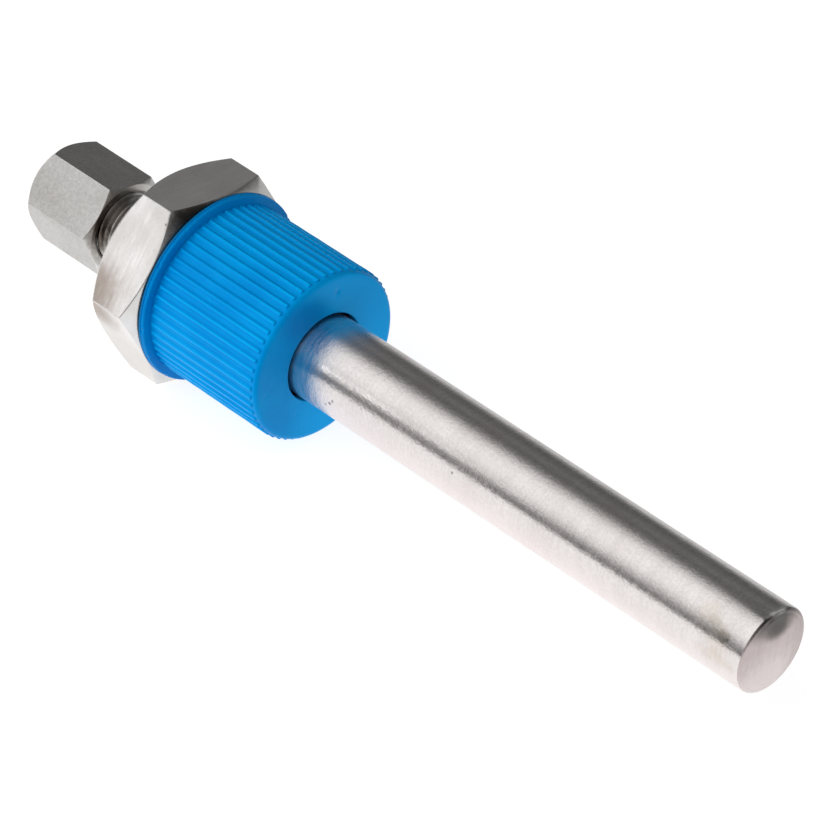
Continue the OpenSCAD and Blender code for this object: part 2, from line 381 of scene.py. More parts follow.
class Graph:
    """A node tree that is filled one short line at a time."""

    def __init__(self, tree: NodeTree) -> None:
        """Empties the tree."""
        self.tree = tree
        tree.nodes.clear()

    def add(self, kind: str, inputs: dict[str | int, object] | None = None,
            **settings: object) -> Node:
        """Adds a node.

        Args:
            kind: The node's type, without the word ShaderNode in front.
            inputs: Values or sockets for its inputs.
            **settings: Values for its own properties.

        Returns:
            The node.
        """
        node = self.tree.nodes.new("ShaderNode" + kind)
        for key, value in settings.items():
            setattr(node, key, value)
        for key, value in (inputs or {}).items():
            if isinstance(value, Socket):
                self.tree.links.new(value, node.inputs[key])
            else:
                node.inputs[key].default_value = value
        return node

    def math(self, operation: str, *values: float | Socket) -> Socket:
        """Does one sum, by Blender's name for it."""
        return self.add("Math", dict(enumerate(values)), operation=operation).outputs[0]

    def times(self, first: Socket, second: float | Socket) -> Socket:
        """Multiplies two values."""
        return self.math("MULTIPLY", first, second)

    def vector(self, operation: str, *values: Vector | Triple | Socket) -> Socket:
        """Does one sum with vectors, by Blender's name for it."""
        node = self.add("VectorMath", dict(enumerate(values)), operation=operation)
        return node.outputs["Value" if operation in ("LENGTH", "DOT_PRODUCT") else "Vector"]

    def axes(self, vector: Socket) -> Sequence[Socket]:
        """Takes a vector apart into X, Y and Z."""
        return self.add("SeparateXYZ", {0: vector}).outputs

    def rays(self) -> tuple[Socket, Socket]:
        """Tells kinds of rays apart.

        Returns:
            1 for rays that show a thing as the camera sees it, and 1 for those of dull surfaces.
        """
        rays = self.add("LightPath").outputs
        seen = self.math("MAXIMUM", rays["Is Camera Ray"], rays["Is Transmission Ray"])
        return seen, rays["Is Diffuse Ray"]

    def radius(self, place: Socket) -> Socket:
        """Gives the distance from the axis."""
        return self.vector("LENGTH", self.vector("MULTIPLY", place, (0.0, 1.0, 1.0)))

    def fit(self, value: Socket, low: float, high: float, to_low: float,
            to_high: float) -> Socket:
        """Moves a value smoothly from the range low, high to another, held inside it."""
        inputs = {0: value, 1: low, 2: high, 3: to_low, 4: to_high}
        return self.add("MapRange", inputs, interpolation_type="SMOOTHSTEP").outputs[0]

    def band(self, value: Socket, ends: Pair, to_low: float, to_high: float) -> Socket:
        """Fits a length, from a range that is given in millimetres."""
        return self.fit(value, ends[0] * MM, ends[1] * MM, to_low, to_high)

    def blend(self, share: Socket | float, first: object, second: object,
              how: str = "MIX") -> Socket:
        """Mixes two colours.

        Args:
            share: Share of the second.
            first: A colour or a socket.
            second: A colour or a socket.
            how: Blender's name for the way of mixing.

        Returns:
            The mixed colour's socket.
        """
        sides = [side + (1.0,) if isinstance(side, tuple) else side for side in (first, second)]
        inputs = {0: share, 6: sides[0], 7: sides[1]}
        return self.add("Mix", inputs, data_type="RGBA", blend_type=how).outputs[2]

    def shade(self, tone: Socket, level: Socket) -> Socket:
        """Multiplies a colour by a level."""
        grey = self.add("CombineColor", {0: level, 1: level, 2: level}).outputs[0]
        return self.blend(1.0, tone, grey, "MULTIPLY")

    def noise(self, vector: Socket, scale: float, detail: float, rough: float) -> Socket:
        """Adds plain noise, as fine as scale, with finer layers that are as strong as rough."""
        inputs = {"Vector": vector, "Scale": scale, "Detail": detail, "Roughness": rough}
        return self.add("TexNoise", inputs).outputs[0]

    def surface(self, tone: Socket, rough: Socket, height: Socket, depth: float,
                **inputs: object) -> None:
        """Ends a material.

        Args:
            tone: Its colour.
            rough: How soft its reflections are.
            height: The relief of its skin.
            depth: How deep that looks, in millimetres.
            **inputs: Other inputs of its shader, with _ for each space.
        """
        bump = self.add("Bump", {"Strength": 1.0, "Distance": depth * MM, "Height": height})
        shader = self.add("BsdfPrincipled", {
            "Base Color": tone, "Roughness": rough, "Normal": bump.outputs[0],
            **{name.replace("_", " "): value for name, value in inputs.items()}})
        self.add("OutputMaterial", {0: shader.outputs[0]})

    def spot(self, place: Socket, centre: Triple, reach: Triple, wobble: Socket) -> Socket:
        """Marks a soft patch on the surface.

        Args:
            place: Object coordinates.
            centre: The patch's middle, in millimetres.
            reach: Its half sizes along X, Y and Z, in millimetres.
            wobble: Noise that breaks up its edge.

        Returns:
            A mask, 1 in the middle.
        """
        away = self.vector("SUBTRACT", place, Vector(centre) * MM)
        size = self.vector("LENGTH", self.vector("DIVIDE", away, Vector(reach) * MM))
        return self.fit(self.math("ADD", size, wobble), 0.35, 1.5, 1.0, 0.0)


def new_material(name: str) -> tuple[Material, Graph, Socket]:
    """Starts a material.

    Args:
        name: Its name.

    Returns:
        The material, its nodes and its Object coordinates.
    """
    material = bpy.data.materials.new(name)
    material.use_nodes = True
    graph = Graph(material.node_tree)
    return material, graph, graph.add("TexCoord").outputs["Object"]


class Grain(Enum):
    """How the fine marks of metal run: the axes they lie across, and which way they go."""

    AROUND = "X", "round the axis, as a lathe or an abrasive belt leaves them"
    ALONG = "YZ", "along the axis, as drawn bar has them"
    ACROSS = "X", "across a flat, as a linishing belt leaves them"
    DOWN = "XY", "straight down a flat end, as a sanding block leaves them"
    CAST = "XYZ", "no way, as in weld metal"


@dataclass(frozen=True)
class TintedPatch:
    """A tinted patch on steel, in millimetres. Some are marks that heat or dried cutting fluid
    leaves; others are painted shade, painted reflections and painted highlights.
    """

    centre: Triple
    reach: Triple
    strength: float
    tint: Triple
    ragged: float
    matt: float = 0.0


@dataclass(frozen=True)
class Steel:
    """Bare stainless steel.

    Attributes:
        colour: Its bright tone.
        dull: Its tone in dull patches.
        per_mm: Marks in a millimetre.
        depth: How deep the marks look, in millimetres.
        contrast: How much darker the darkest marks are.
        stretch: Share by which reflections spread across the marks.
        patchy: How dull the dull patches are.
        mottle: How much the surface is speckled between the marks.
        waves: How deep the broad marks are beside the fine ones.
        grit: How deep the grains are beside them.
        drawn: Marks in a millimetre along the grain.
        pit: The tone of the smallest pits.
    """

    name: str
    colour: Triple
    dull: Triple
    roughness: float
    grain: Grain
    per_mm: float
    depth: float
    contrast: float
    stretch: float = 0.0
    patchy: float = 0.35
    mottle: float = 0.0
    waves: float = 1.5
    grit: float = 0.0
    tinted_patches: tuple[TintedPatch, ...] = ()
    drawn: float = 0.28
    pit: Triple = (0.16, 0.13, 0.11)

    def marks(self, graph: Graph, place: Socket) -> Socket:
        """Gives the coordinates in which the fine marks are drawn out.

        Args:
            graph: The material's nodes.
            place: Object coordinates.

        Returns:
            A vector in which plain noise looks like marks.
        """
        if self.grain is Grain.AROUND:
            # The radius comes in, so that end faces get rings too
            x, y, z = graph.axes(place)
            ring = graph.math("MULTIPLY_ADD", graph.radius(place), 0.7, x)
            place = graph.add("CombineXYZ", {0: ring, 1: y, 2: z}).outputs[0]
        across, _ = self.grain.value
        scales = [(self.per_mm if axis in across else self.drawn) / MM for axis in "XYZ"]
        return graph.add("Mapping", {0: place, 3: scales}).outputs[0]

    def make(self) -> Material:
        """Builds the material.

        Returns:
            The new material.
        """
        material, graph, place = new_material(self.name)
        marks = self.marks(graph, place)
        fine = graph.noise(marks, 1.0, 3.0, 0.65)
        broad = graph.noise(marks, 0.21, 2.0, 0.5)
        patches = graph.noise(place, 0.16 / MM, 3.0, 0.55)
        specks = graph.noise(place, 1.3 / MM, 2.0, 0.5)

        dullness = graph.fit(patches, 0.42, 0.72, 0.0, self.patchy)
        tone = graph.blend(dullness, self.colour, self.dull)
        streaks = graph.math("ADD", graph.times(fine, 0.6), graph.times(broad, 0.4))
        tone = graph.shade(tone, graph.fit(streaks, 0.32, 0.68, 1 - self.contrast, 1.0))
        if self.mottle:
            speckle = graph.noise(place, 2.6 / MM, 3.0, 0.7)
            tone = graph.shade(tone, graph.fit(speckle, 0.3, 0.7, 1 - self.mottle, 1.0))
        tone = graph.blend(graph.fit(specks, 0.2, 0.26, 0.55, 0.0), tone, self.pit)
        rough = graph.math(
            "ADD", graph.fit(fine, 0.3, 0.7, -0.04, 0.05),
            graph.fit(patches, 0.35, 0.7, self.roughness - 0.03, self.roughness + 0.05))
        # Tinted patches: real marks, and painted shade, painted reflections and painted highlights
        for tinted_patch in self.tinted_patches:
            wobble = graph.noise(place, 0.9 / MM, 3.0, 0.6)
            wobble = graph.times(graph.fit(wobble, 0.3, 0.7, -0.5, 0.5), tinted_patch.ragged)
            mask = graph.spot(place, tinted_patch.centre, tinted_patch.reach, wobble)
            tone = graph.blend(graph.times(mask, tinted_patch.strength), tone, tinted_patch.tint)
            if tinted_patch.matt:
                rough = graph.math("MULTIPLY_ADD", mask, tinted_patch.matt, rough)

        height = graph.math("ADD", fine, graph.times(broad, self.waves))
        if self.grit:
            grains = graph.noise(place, 2.2 / MM, 3.0, 0.75)
            height = graph.math("ADD", height, graph.times(grains, self.grit))
        spread = {}
        if self.stretch:
            tangent = graph.add("Tangent", direction_type="RADIAL", axis="X").outputs[0]
            spread = {
                "Anisotropic": self.stretch, "Anisotropic_Rotation": 0.25, "Tangent": tangent}
        graph.surface(tone, rough, height, self.depth, Metallic=1.0, **spread)
        return material


@dataclass(frozen=True)
class CapPlastic:
    """Soft blue polythene, as thread caps are moulded from.

    Its tone is deep in clouds, with painted shade at the ribs' feet and a painted highlight along
    each crest. It has painted shade by the rim and beside the hole, painted light on the end wall,
    and a painted shadow where the rim meets the hexagon. Places are in millimetres. A pair says
    between which places a tone comes or goes: face_depth is measured from the closed end, rim_x
    and seam_x from the rim.
    """

    name: str = "cap_polythene"
    colour: Triple = (0.0, 0.30, 0.72)
    # deep is both the clouds' tone and the painted shade at the ribs' feet
    deep: Triple = (0.0, 0.235, 0.64)
    rubbed: Triple = (0.0, 0.36, 0.80)
    # Painted highlight on the ribs' crests
    crest_highlight: Triple = (0.0, 0.41, 0.88)
    # Painted shade, by the rim and beside the hole
    cap_shade: Triple = (0.0, 0.13, 0.46)
    # Painted light on the end wall
    face: Triple = (0.0, 0.37, 0.88)
    # A painted shadow where the rim meets the hexagon
    seam_shadow: Triple = (0.005, 0.05, 0.10)
    roughness: float = 0.32
    depth: float = 0.02
    shine: float = 0.1
    glint: Triple = (0.0, 0.8, 1.0)
    # Where the ribs' painted shade and highlight are weaker
    eased_at: Triple = (8.0, -8.4, 9.0)
    eased_reach: Triple = (11.0, 4.6, 4.6)
    # Where the painted shade beside the hole lies: the stem's dark reflection
    cap_shade_at: Triple = (21.2, -4.2, 7.4)
    cap_shade_reach: Triple = (1.2, 4.6, 3.2)
    face_depth: Pair = (0.25, 0.02)
    face_y: Pair = (-7.0, 3.0)
    rim_x: Pair = (0.8, 1.3)
    seam_x: Pair = (0.1, 0.5)
    seam_r: Pair = (11.7, 12.2)

    def make(self) -> Material:
        """Builds the material.

        Returns:
            The new material.
        """
        material, graph, place = new_material(self.name)
        x, y, _ = graph.axes(place)
        low, high = box_mm("thread_cap")
        from_rim = graph.math("SUBTRACT", x, low.x * MM)
        from_end = graph.math("SUBTRACT", high.x * MM, x)
        clouds = graph.noise(place, 0.12 / MM, 3.0, 0.5)
        skin = graph.noise(place, 1.6 / MM, 4.0, 0.6)
        drawn = graph.add("Mapping", {0: place, 3: (0.25 / MM, 2.4 / MM, 2.4 / MM)}).outputs[0]
        scuffs = graph.noise(drawn, 1.0, 3.0, 0.7)
        worn = graph.fit(scuffs, 0.56, 0.78, 0.0, 0.5)

        # The ribs: painted shade at their feet and a painted highlight on top, both weaker over a
        # patch on the upper front
        crest = graph.add("Attribute", attribute_name="crest").outputs["Fac"]
        calm = graph.times(clouds, 0.2)
        eased = graph.spot(place, self.eased_at, self.eased_reach, calm)
        crisp = graph.math("MULTIPLY_ADD", eased, -0.8, 1.0)
        foot = graph.times(
            graph.fit(crest, 0.02, 0.5, 0.6, 0.0), graph.fit(crest, 0.0, 0.02, 0.0, 1.0))
        top_highlight = graph.fit(crest, 0.7, 1.0, 0.0, 0.6)

        # The end wall: painted light, stronger towards the back, and painted shade beside the
        # hole, the stem's dark reflection
        cap_shade = graph.spot(place, self.cap_shade_at, self.cap_shade_reach, calm)
        flat = graph.times(
            graph.band(from_end, self.face_depth, 0.0, 0.9), graph.band(y, self.face_y, 0.1, 1.0))
        flat = graph.times(flat, graph.fit(cap_shade, 0.0, 1.0, 1.0, 0.0))

        # The rim: painted shade behind its beads, and a painted shadow where it meets the hexagon
        rim = graph.band(from_rim, self.rim_x, 0.4, 0.0)
        seam_shade = graph.times(graph.band(from_rim, self.seam_x, 0.92, 0.0),
                           graph.band(graph.radius(place), self.seam_r, 0.0, 1.0))

        tone = self.colour
        for share, layer in (
                (graph.fit(clouds, 0.35, 0.65, 0.0, 0.7), self.deep), (worn, self.rubbed),
                (graph.times(foot, crisp), self.deep), (graph.times(top_highlight, crisp), self.crest_highlight),
                (graph.times(cap_shade, 0.55), self.cap_shade), (flat, self.face), (rim, self.cap_shade),
                (seam_shade, self.seam_shadow)):
            tone = graph.blend(share, tone, layer)
        rough = graph.math("ADD", graph.times(worn, 0.12), graph.fit(
            skin, 0.3, 0.7, self.roughness - 0.05, self.roughness + 0.06))
        graph.surface(tone, rough, skin, self.depth, Specular_IOR_Level=self.shine, IOR=1.5,
                      Specular_Tint=self.glint + (1.0,))
        return material


def paint(piece: Object, *finishes: Steel | CapPlastic) -> None:
    """Gives a piece its materials, in the order of its material places."""
    for finish in finishes:
        piece.data.materials.append(finish.make())


# --- Pieces ---


@dataclass
class Stem:
    """The closed tube that goes into the process: brushed, with its welded and dressed tip.

    Attributes:
        hollows: Dents in the tip's face, as (degrees, r, reach, depth).
        ground_flat: The dent that grinding left on the tip's edge, likewise.
        dressed: How far back from the tip's crown its own finish goes.
    """

    bore_r: float = 3.5
    plug_t: float = 4.3
    edge_r: float = 0.6
    edge_quarters: float = 0.94
    crown_rise: float = 0.32
    crease_r: float = 5.35
    crease_w: float = 0.12
    crease_depth: float = 0.015
    hollows: tuple[tuple[float, float, float, float], ...] = (
        (20, 3.9, 2.0, 0.04), (0, 3.6, 2.4, 0.07), (-20, 4.0, 2.0, 0.04))
    ground_flat: tuple[float, float, float, float] = (12, 5.85, 1.2, 0.14)
    dressed: float = 0.3
    lengths: int = 24
    rings: int = 16
    steps: int = 256

    def build(self) -> Object:
        """Turns the stem with its blind bore.

        Returns:
            The stem, on its body.
        """
        low, _ = box_mm("stem_tube")
        _, high = box_mm("tip_plug")
        r, end = high.y, high.x
        crown_x = end - self.crown_rise
        corners: list[Triple] = [
            (end - self.plug_t, 0.0, 0.0), (end - self.plug_t, self.bore_r, 0.3),
            (low.x, self.bore_r, 0.1), (low.x, r, 0.1)]
        corners += [(low.x + (crown_x - low.x) * k / self.lengths, r, 0.0)
                    for k in range(1, self.lengths)]
        edge = arc(crown_x - self.edge_r, r - self.edge_r, self.edge_r,
                   0.0, self.edge_quarters * QUARTER, steps=8)
        corners += [(x, out, 0.0) for x, out in edge]
        corners.append((crown_x - self.crease_depth, self.crease_r, 0.03))
        for k in range(1, self.rings):
            ring_r = (self.crease_r - self.crease_w) * (1 - k / self.rings)
            share = ring_r / self.crease_r
            corners.append((end - self.crown_rise * 0.92 * share * share, ring_r, 0.0))
        corners.append((end, 0.0, 0.0))
        bm = bmesh.new()
        spin_outline(bm, softened(corners), self.steps)
        self.work_tip(bm, end)
        piece = finish_mesh(bm, "stem", crease=40)
        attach(piece, "well")
        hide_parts("stem_tube", "tip_plug")
        return piece

    def work_tip(self, bm: BMesh, end: float) -> None:
        """Sinks the tip's face along its upper edge, grinds that edge, and marks off the face.

        Args:
            bm: The stem's mesh.
            end: Where the tip ends.
        """
        for degrees, r, reach, depth in self.hollows:
            dent(bm, on_round(end - 0.2, r, degrees), reach, Vector((-depth, 0.0, 0.0)))
        degrees, r, reach, depth = self.ground_flat
        crown_x = end - self.crown_rise
        centre = on_round(crown_x - 0.15, r, degrees)
        dent(bm, centre, reach, Vector((-depth, -centre.y * depth / r, -centre.z * depth / r)))
        for face in bm.faces:
            if face.calc_center_median().x > crown_x - self.dressed:
                face.material_index = FLAT

    def dress(self, piece: Object) -> None:
        """Gives the stem its brushed finish, with pits, heat tint by the tip and painted light on
        the tip's face and edge.

        Args:
            piece: The stem.
        """
        # scorch is the tone of small scorch marks, and of painted dark reflections on the tip's
        # face
        straw, brown, scorch_and_dark_reflection = (0.58, 0.47, 0.33), (0.50, 0.43, 0.35), (0.10, 0.095, 0.09)
        # Painted highlight: a light patch on the upper edge of the tip, also made rougher
        painted_glint = TintedPatch((99.35, 0.3, 5.8), (0.32, 1.6, 0.5), 0.8, (0.98, 0.97, 0.95), 0.3, matt=0.5)
        along = (
            TintedPatch((50.0, -4.4, -4.4), (60.0, 3.4, 4.6), 0.75, (0.89, 0.79, 0.785), 0.1),
            TintedPatch((93.0, -4.6, 3.9), (1.6, 1.3, 1.7), 0.24, straw, 0.5),
            TintedPatch((95.6, -5.6, 1.4), (1.9, 1.4, 1.3), 0.24, straw, 0.5),
            TintedPatch((95.8, -6.0, -0.5), (2.8, 1.4, 0.9), 0.24, straw, 0.5),
            TintedPatch((94.6, -5.0, 3.2), (1.4, 0.9, 0.9), 0.32, brown, 0.7),
            TintedPatch((96.4, -5.3, 2.6), (0.9, 0.6, 0.7), 0.48, (0.36, 0.31, 0.26), 0.8),
            TintedPatch((96.9, -5.4, 2.4), (0.28, 0.3, 0.22), 0.55, scorch_and_dark_reflection, 0.8),
            painted_glint,
            TintedPatch((28.5, -6.0, -0.8), (0.26, 0.5, 0.22), 0.8, scorch_and_dark_reflection, 0.6),
            TintedPatch((27.8, -6.0, -1.3), (0.18, 0.5, 0.20), 0.6, scorch_and_dark_reflection, 0.6),
            TintedPatch((29.0, -6.0, -0.2), (0.16, 0.5, 0.20), 0.6, scorch_and_dark_reflection, 0.6),
            TintedPatch((50.6, -5.9, 0.9), (0.20, 0.5, 0.18), 0.7, scorch_and_dark_reflection, 0.6),
        )
        # Painted light on the tip's face: lighter towards the bottom, with painted dark
        # reflections on its upper part, and the painted highlight on its edge
        tip_painted_light = (
            TintedPatch((99.7, -1.0, -4.4), (1.6, 5.5, 4.5), 0.7, (0.80, 0.73, 0.72), 0.2),
            TintedPatch((99.6, -0.6, 5.2), (1.6, 4.6, 2.4), 0.88, scorch_and_dark_reflection, 0.1),
            TintedPatch((99.7, 0.2, 3.6), (1.5, 2.0, 1.5), 0.88, scorch_and_dark_reflection, 0.1),
            painted_glint,
        )
        paint(
            piece,
            Steel("stem_steel", (0.86, 0.815, 0.80), (0.80, 0.725, 0.70), 0.21, Grain.AROUND,
                  per_mm=3.2, depth=0.010, contrast=0.10, stretch=0.85, mottle=0.10, waves=0.6,
                  grit=3.0, tinted_patches=along),
            Steel("tip_steel", (0.60, 0.525, 0.515), (0.55, 0.475, 0.465), 0.36, Grain.DOWN,
                  per_mm=4.5, depth=0.006, contrast=0.14, mottle=0.05, grit=1.2, tinted_patches=tip_painted_light))


@dataclass
class WellBody:
    """The body: large hexagon, threaded boss with its relief, and the probe's nipple.

    A thread's depth is a share of its pitch, and lead is the chamfer on the boss's end.
    """

    face_r: float = 13.35
    back_face_r: float = 12.9
    hex_len: float = 8.8
    relief_r: float = 9.1975
    relief_w: float = 2.5
    crest_r: float = 10.4775
    lead: float = 1.3
    socket_r: float = 6.04
    socket_x: float = -6.0
    probe_r: float = 3.1
    nipple_r: float = 5.0
    nipple_relief_r: float = 4.3
    nipple_relief_w: float = 2.0
    nipple_face_r: float = 4.36
    cone_mouth_r: float = 4.0
    cone_x: float = -20.966
    pipe_pitch: float = 25.4 / 14
    pipe_depth: float = 0.64
    fine_pitch: float = 1.0
    fine_depth: float = 0.613
    steps: int = 240

    def build(self) -> Object:
        """Turns the body, cuts its flats and its two threads.

        A thread's skin starts a hair off the turned skin, and the two rims are bridged.

        Returns:
            The body, on its CAD body.
        """
        low, high = box_mm("process_body")
        boss_x, nipple_x, corner_r = high.x, low.x, high.y
        bar = HexBar(
            -self.hex_len, 0.0, corner_r, self.back_face_r, 40, self.face_r, 30, edge=0.11)
        run_in = self.relief_w - (self.crest_r - self.relief_r)
        end_r = self.crest_r - self.lead
        slope_x = -self.hex_len - self.nipple_relief_w + self.nipple_r - self.nipple_relief_r
        middle: list[Triple] = [
            (run_in + 0.06, self.relief_r + 0.06, 0.0), (run_in, self.relief_r, 0.3),
            (0.0, self.relief_r, 0.25), *bar.blank(),
            (-self.hex_len, self.nipple_relief_r, 0.25), (slope_x, self.nipple_relief_r, 0.2),
            (slope_x - 0.02, self.nipple_relief_r + 0.02, 0.0)]
        inside: list[Triple] = [
            (boss_x - 0.07, end_r + 0.07, 0.0), (boss_x, end_r, 0.08),
            (boss_x, self.socket_r, 0.05), (self.socket_x, self.socket_r, 0.05),
            (self.socket_x, self.probe_r, 0.05), (self.cone_x, self.probe_r, 0.1),
            (nipple_x, self.cone_mouth_r, 0.05), (nipple_x, self.nipple_face_r, 0.0)]
        bm = bmesh.new()
        spin_outline(bm, softened(middle), self.steps)
        spin_outline(bm, softened(inside), self.steps)
        bar.cut_flats(bm)

        pipe = ScrewThread(
            run_in + 0.09, boss_x - 0.1, self.crest_r, self.pipe_pitch,
            self.pipe_depth * self.pipe_pitch,
            (run_in, self.relief_r, 1.0), (boss_x, end_r, -1.0))
        fine = ScrewThread(
            nipple_x + 0.01, slope_x - 0.05, self.nipple_r, self.fine_pitch,
            self.fine_depth * self.fine_pitch,
            (nipple_x, self.nipple_face_r, 1.0), (slope_x, self.nipple_relief_r, -1.0), columns=96)
        pipe.cut(bm)
        fine.cut(bm)
        for near, far in ((middle[0], pipe.start_x), (inside[0], pipe.end_x),
                          (middle[-1], fine.end_x), (inside[-1], fine.start_x)):
            bmesh.ops.bridge_loops(bm, edges=rim_at(bm, near[0]) + rim_at(bm, far))
        piece = finish_mesh(bm, "well_body")
        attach(piece, "well")
        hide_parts("process_body")
        return piece

    def dress(self, piece: Object) -> None:
        """Gives the turned faces fine rings and the flats a satin grain, with painted shade on the
        turned faces and darker patches low on the flats.

        Args:
            piece: The body.
        """
        # Painted shade: dark brown over the nipple, in the recess between nut and hexagon, and on
        # the hexagon's front cone beside the cap
        shade_brown = (0.10, 0.075, 0.055)
        painted_shade = (TintedPatch((-16.0, -3.2, 3.6), (8.0, 3.6, 4.2), 0.72, shade_brown, 0.6),
                 TintedPatch((-12.0, 2.5, 3.6), (3.0, 3.5, 3.5), 0.65, shade_brown, 0.6),
                 TintedPatch((-17.2, -4.9, 0.2), (1.3, 1.6, 3.2), 0.85, shade_brown, 0.2),
                 TintedPatch((-0.6, -4.5, 12.6), (1.6, 4.2, 2.2), 0.85, shade_brown, 0.3))
        # Darker, browner patches low on the flats
        worn = (TintedPatch((-7.2, -14.4, 0.0), (4.6, 2.4, 6.4), 0.9, (0.42, 0.35, 0.31), 0.15),
                TintedPatch((-4.0, -9.5, -9.5), (7.0, 6.5, 6.5), 0.85, (0.74, 0.71, 0.69), 0.2))
        paint(
            piece,
            Steel("body_turned_steel", (0.80, 0.79, 0.775), (0.66, 0.63, 0.6), 0.26, Grain.AROUND,
                  per_mm=4.0, depth=0.006, contrast=0.16, tinted_patches=painted_shade),
            Steel("body_flat_steel", (0.95, 0.925, 0.91), (0.84, 0.80, 0.77), 0.36, Grain.ACROSS,
                  per_mm=3.4, depth=0.003, contrast=0.06, mottle=0.06, grit=1.8, tinted_patches=worn))


@dataclass
class CompressionNut:
    """The small nut that presses the cutting ring onto the probe."""

    across_flats: float = 13.0
    back_face_r: float = 5.9
    face_r: float = 6.45
    bore_r: float = 5.08
    probe_r: float = 3.1
    wall: float = 1.4
    mouth: float = 0.4
    turn: float = -4.8
    steps: int = 192

    def build(self) -> Object:
        """Turns the nut and cuts its flats.

        Returns:
            The nut, on its CAD body.
        """
        low, high = box_mm("compression_nut")
        bar = HexBar(low.x, high.x, self.across_flats / math.sqrt(3), self.back_face_r, 45,
                     self.face_r, 30, turn=self.turn, edge=0.07)
        cone_x = low.x + self.wall
        cone_end = cone_x + self.bore_r - self.probe_r
        corners: list[Triple] = [
            *bar.blank(),
            (low.x, self.probe_r, 0.25), (cone_x, self.probe_r, 0.05),
            (cone_end, self.bore_r, 0.1), (high.x - self.mouth, self.bore_r, 0.05),
            (high.x, self.bore_r + self.mouth, 0.05)]
        bm = bmesh.new()
        spin_outline(bm, softened(corners, closed=True), self.steps, closed=True)
        bar.cut_flats(bm)
        piece = finish_mesh(bm, "compression_nut_piece")
        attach(piece, "nut")
        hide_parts("compression_nut")
        return piece

    def dress(self, piece: Object) -> None:
        """Gives the nut a finish a little duller than the body's, and painted shade on its front
        face.

        Args:
            piece: The nut.
        """
        # Painted shade on the nut's front face, which looks towards the hexagon
        painted_shade = (TintedPatch((-17.3, -4.2, 2.6), (1.6, 3.6, 4.4), 0.9, (0.14, 0.11, 0.085), 0.3),)
        paint(
            piece,
            Steel("nut_turned_steel", (0.74, 0.725, 0.705), (0.5, 0.46, 0.42), 0.3, Grain.AROUND,
                  per_mm=5.0, depth=0.005, contrast=0.16, patchy=0.5, tinted_patches=painted_shade),
            Steel("nut_flat_steel", (0.66, 0.645, 0.63), (0.56, 0.53, 0.50), 0.38, Grain.ALONG,
                  per_mm=4.0, depth=0.003, contrast=0.06, mottle=0.20, grit=4.5))


@dataclass
class RootWeld:
    """The weld bead between the boss and the tube, with the ripples that each pool leaves."""

    bore_r: float = 6.02
    hollow: float = 0.92
    ripples: int = 44
    ripple_height: float = 0.05
    ripple_lean: float = 1.6
    steps: int = 264

    def build(self) -> Object:
        """Spins the hollow bead and ripples its skin.

        Returns:
            The bead, on its body.
        """
        low, high = box_mm("root_weld")
        inner, leg, kept = self.bore_r, high.x - low.x, 0.05
        skin = arc(low.x + leg, inner + leg, self.hollow * leg, 2 * QUARTER, 3 * QUARTER, steps=10)
        bm = bmesh.new()
        spin_outline(bm, [(low.x, inner), (high.x, inner), *skin, (low.x, high.y)], self.steps,
                     closed=True)
        for vert in bm.verts:
            r, along = off_axis(vert), vert.co.x - low.x
            if r > inner + kept and along > kept:
                angle = math.atan2(vert.co.y, vert.co.z)
                wave = abs(math.sin(angle * self.ripples / 2 + self.ripple_lean * along))
                drop = self.ripple_height * (1 - wave) * min((along + r - inner) / leg, 1.0)
                vert.co.x -= drop
                pinch(vert, 1 - drop / r)
        piece = finish_mesh(bm, "weld_bead", crease=50)
        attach(piece, "well")
        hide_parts("root_weld")
        return piece

    def dress(self, piece: Object) -> None:
        """Gives the bead its dull, heat-tinted tone."""
        paint(piece, Steel("weld_metal", (0.62, 0.58, 0.52), (0.46, 0.37, 0.27), 0.34, Grain.CAST,
                           per_mm=2.4, depth=0.01, contrast=0.2, patchy=0.8))


